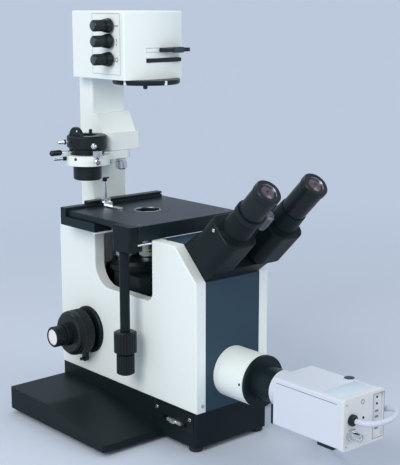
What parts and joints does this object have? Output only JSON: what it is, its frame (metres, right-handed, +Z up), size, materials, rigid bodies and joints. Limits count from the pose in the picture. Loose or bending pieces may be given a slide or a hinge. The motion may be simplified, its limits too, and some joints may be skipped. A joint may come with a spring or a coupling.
{
  "type": "inverted microscope",
  "caption": "Inverted microscope with a binocular head, swing-out condenser, overhead lamp and a video camera.",
  "frame": {"origin": "on the bench, under the middle of the whole outline", "axes": "+Z up, -Y towards the operator, +X to the operator's right"},
  "size_m": [0.314, 0.4908, 0.4876],
  "materials": {
    "white_paint": "smooth semi-gloss white enamel",
    "black_paint": "fine textured black enamel",
    "slate_paint": "fine textured slate blue enamel",
    "camera_paint": "matt pale grey paint",
    "black_plastic": "satin moulded black",
    "rubber": "matt",
    "steel": "turned steel",
    "chrome": "satin chrome",
    "glass": "clear",
    "mirror": "silvered",
    "cable_jacket": "satin pale jacket"
  },
  "bodies": {
    "stand": {"base_casting": "black_paint", "feet": "rubber", "left_panel": "white_paint", "right_panel": "white_paint", "front_cover": "slate_paint", "rear_cover": "white_paint", "mains_inlet": "black_plastic", "path_mirror": "mirror", "focus_guide": "black_paint", "focus_flanges": "black_paint", "stage_plate": "black_paint", "stage_insert": "black_paint", "drive_column": "black_paint", "pillar": "white_paint", "lamp_housing": "white_paint", "lamp": "glass", "collector_lens": "glass", "condenser_bracket": "white_paint", "head_base": "black_paint", "photo_port": "white_paint", "port_adapter": "black_paint", "video_camera": "camera_paint", "camera_back_panel": "camera_paint", "video_socket": "chrome", "cable_gland": "black_plastic", "camera_cable": "cable_jacket", "cable_coil": "cable_jacket", "cable_plug": "black_plastic"},
    "coarse_focus": {"coarse_shaft": "steel", "left_coarse_knob": "black_plastic", "right_coarse_knob": "black_plastic"},
    "fine_focus": {"fine_shaft": "black_plastic"},
    "tension": {"tension_lever": "black_paint"},
    "nosepiece": {"nosepiece_carrier": "black_paint"},
    "revolver": {"turret": "black_paint", "objectives": "chrome"},
    "switch": {"power_switch": "black_plastic"},
    "path": {"path_slider": "steel"},
    "stage_y_drive": {"stage_y_knob": "black_plastic"},
    "stage_x_drive": {"stage_x_knob": "black_plastic"},
    "carriage": {"y_carriage": "black_paint"},
    "holder": {"specimen_holder": "chrome"},
    "lower_tray": {"lower_filter_tray": "black_paint"},
    "upper_tray": {"upper_filter_tray": "black_paint"},
    "diaphragm": {"field_diaphragm": "black_paint"},
    "top_knob": {"top_lamp_knob": "black_plastic"},
    "middle_knob": {"middle_lamp_knob": "black_plastic"},
    "bottom_knob": {"bottom_lamp_knob": "black_plastic"},
    "condenser": {"condenser_arm": "white_paint", "condenser_body": "black_paint", "condenser_lens": "glass"},
    "aperture": {"aperture_lever": "steel"},
    "phase": {"phase_plate": "black_paint"},
    "arm_clamp": {"arm_clamp_knob": "chrome"},
    "left_tube": {"left_prism_housing": "black_paint", "left_eyepiece": "black_paint"},
    "right_tube": {"right_prism_housing": "black_paint", "right_eyepiece": "black_paint"},
    "dioptre": {"dioptre_ring": "black_paint"},
    "dial": {"eye_distance_dial": "chrome"}
  },
  "joints": [
    {"name": "coarse_focus_turn", "type": "hinge", "parent": "stand", "child": "coarse_focus", "pos_m": [0, 0.1747, 0.1017], "axis": [1, 0, 0], "range_deg": [-107.5, 21.5]},
    {"name": "fine_focus_turn", "type": "hinge", "parent": "stand", "child": "fine_focus", "pos_m": [0, 0.1747, 0.1017], "axis": [1, 0, 0], "range_deg": [-537.3, 107.5]},
    {"name": "nosepiece_slide", "type": "slide", "parent": "stand", "child": "nosepiece", "axis": [0, 0, 1], "range_m": [-0.015, 0.003]},
    {"name": "turret_turn", "type": "hinge", "parent": "nosepiece", "child": "revolver", "pos_m": [0, 0.1467, 0.18], "axis": [0, 0, 1], "continuous": true},
    {"name": "tension_turn", "type": "hinge", "parent": "stand", "child": "tension", "pos_m": [0, 0.1747, 0.1017], "axis": [1, 0, 0], "range_deg": [-20, 20]},
    {"name": "switch_rock", "type": "hinge", "parent": "stand", "child": "switch", "pos_m": [0.02, 0.2313, 0.0668], "axis": [1, 0, 0], "range_deg": [-8, 8]},
    {"name": "path_slide", "type": "slide", "parent": "stand", "child": "path", "axis": [0, 1, 0], "range_m": [0, 0.008]},
    {"name": "stage_y_turn", "type": "hinge", "parent": "stand", "child": "stage_y_drive", "pos_m": [-0.08, 0.0692, 0.115], "axis": [0, 0, 1], "range_deg": [0, 251.5]},
    {"name": "stage_x_turn", "type": "hinge", "parent": "stand", "child": "stage_x_drive", "pos_m": [-0.08, 0.0692, 0.089], "axis": [0, 0, 1], "range_deg": [-107.6, 430.4]},
    {"name": "carriage_slide", "type": "slide", "parent": "stand", "child": "carriage", "axis": [0, -1, 0], "range_m": [0, 0.035]},
    {"name": "holder_slide", "type": "slide", "parent": "carriage", "child": "holder", "axis": [1, 0, 0], "range_m": [-0.015, 0.06]},
    {"name": "lower_tray_slide", "type": "slide", "parent": "stand", "child": "lower_tray", "axis": [0, -1, 0], "range_m": [0, 0.04]},
    {"name": "upper_tray_slide", "type": "slide", "parent": "stand", "child": "upper_tray", "axis": [0, -1, 0], "range_m": [0, 0.04]},
    {"name": "diaphragm_turn", "type": "hinge", "parent": "stand", "child": "diaphragm", "pos_m": [0, 0.1267, 0.406], "axis": [0, 0, 1], "range_deg": [-45, 45]},
    {"name": "top_knob_turn", "type": "hinge", "parent": "stand", "child": "top_knob", "pos_m": [-0.05, 0.1362, 0.4714], "axis": [-1, 0, 0], "range_deg": [0, 270]},
    {"name": "middle_knob_turn", "type": "hinge", "parent": "stand", "child": "middle_knob", "pos_m": [-0.05, 0.1362, 0.4537], "axis": [-1, 0, 0], "range_deg": [-135, 135]},
    {"name": "bottom_knob_turn", "type": "hinge", "parent": "stand", "child": "bottom_knob", "pos_m": [-0.05, 0.1362, 0.433], "axis": [-1, 0, 0], "range_deg": [-135, 135]},
    {"name": "condenser_swing", "type": "hinge", "parent": "stand", "child": "condenser", "pos_m": [0, 0.1777, 0.316], "axis": [0, 0, 1], "range_deg": [0, 90]},
    {"name": "aperture_turn", "type": "hinge", "parent": "condenser", "child": "aperture", "pos_m": [-0.051, 0.1777, 0.324], "axis": [0, 0, 1], "range_deg": [-40, 40]},
    {"name": "phase_turn", "type": "hinge", "parent": "condenser", "child": "phase", "pos_m": [-0.067, 0.1767, 0.3405], "axis": [1, 0, 0], "range_deg": [-90, 90]},
    {"name": "clamp_turn", "type": "hinge", "parent": "stand", "child": "arm_clamp", "pos_m": [0, 0.1777, 0.3], "axis": [0, 0, 1], "range_deg": [0, 180]},
    {"name": "left_tube_slide", "type": "slide", "parent": "stand", "child": "left_tube", "axis": [1, 0, 0], "range_m": [-0.0025, 0.0075]},
    {"name": "right_tube_slide", "type": "slide", "parent": "stand", "child": "right_tube", "axis": [1, 0, 0], "range_m": [-0.0075, 0.0025]},
    {"name": "dioptre_turn", "type": "hinge", "parent": "left_tube", "child": "dioptre", "pos_m": [-0.035, -0.08791, 0.28045], "axis": [0, -0.7071, 0.7071], "range_deg": [-90, 90]},
    {"name": "dial_turn", "type": "hinge", "parent": "stand", "child": "dial", "pos_m": [0, -0.07518, 0.26772], "axis": [0, -0.7071, 0.7071], "range_deg": [-21.5, 64.5]}
  ],
  "couplings": [
    {"joint": "coarse_focus_turn", "follows": "nosepiece_slide", "rad_per_m": 125},
    {"joint": "fine_focus_turn", "follows": "nosepiece_slide", "rad_per_m": 625},
    {"joint": "stage_y_turn", "follows": "carriage_slide", "rad_per_m": 125.31},
    {"joint": "stage_x_turn", "follows": "holder_slide", "rad_per_m": 125.16},
    {"joint": "right_tube_slide", "follows": "left_tube_slide", "ratio": -1},
    {"joint": "dial_turn", "follows": "left_tube_slide", "rad_per_m": 150}
  ]
}
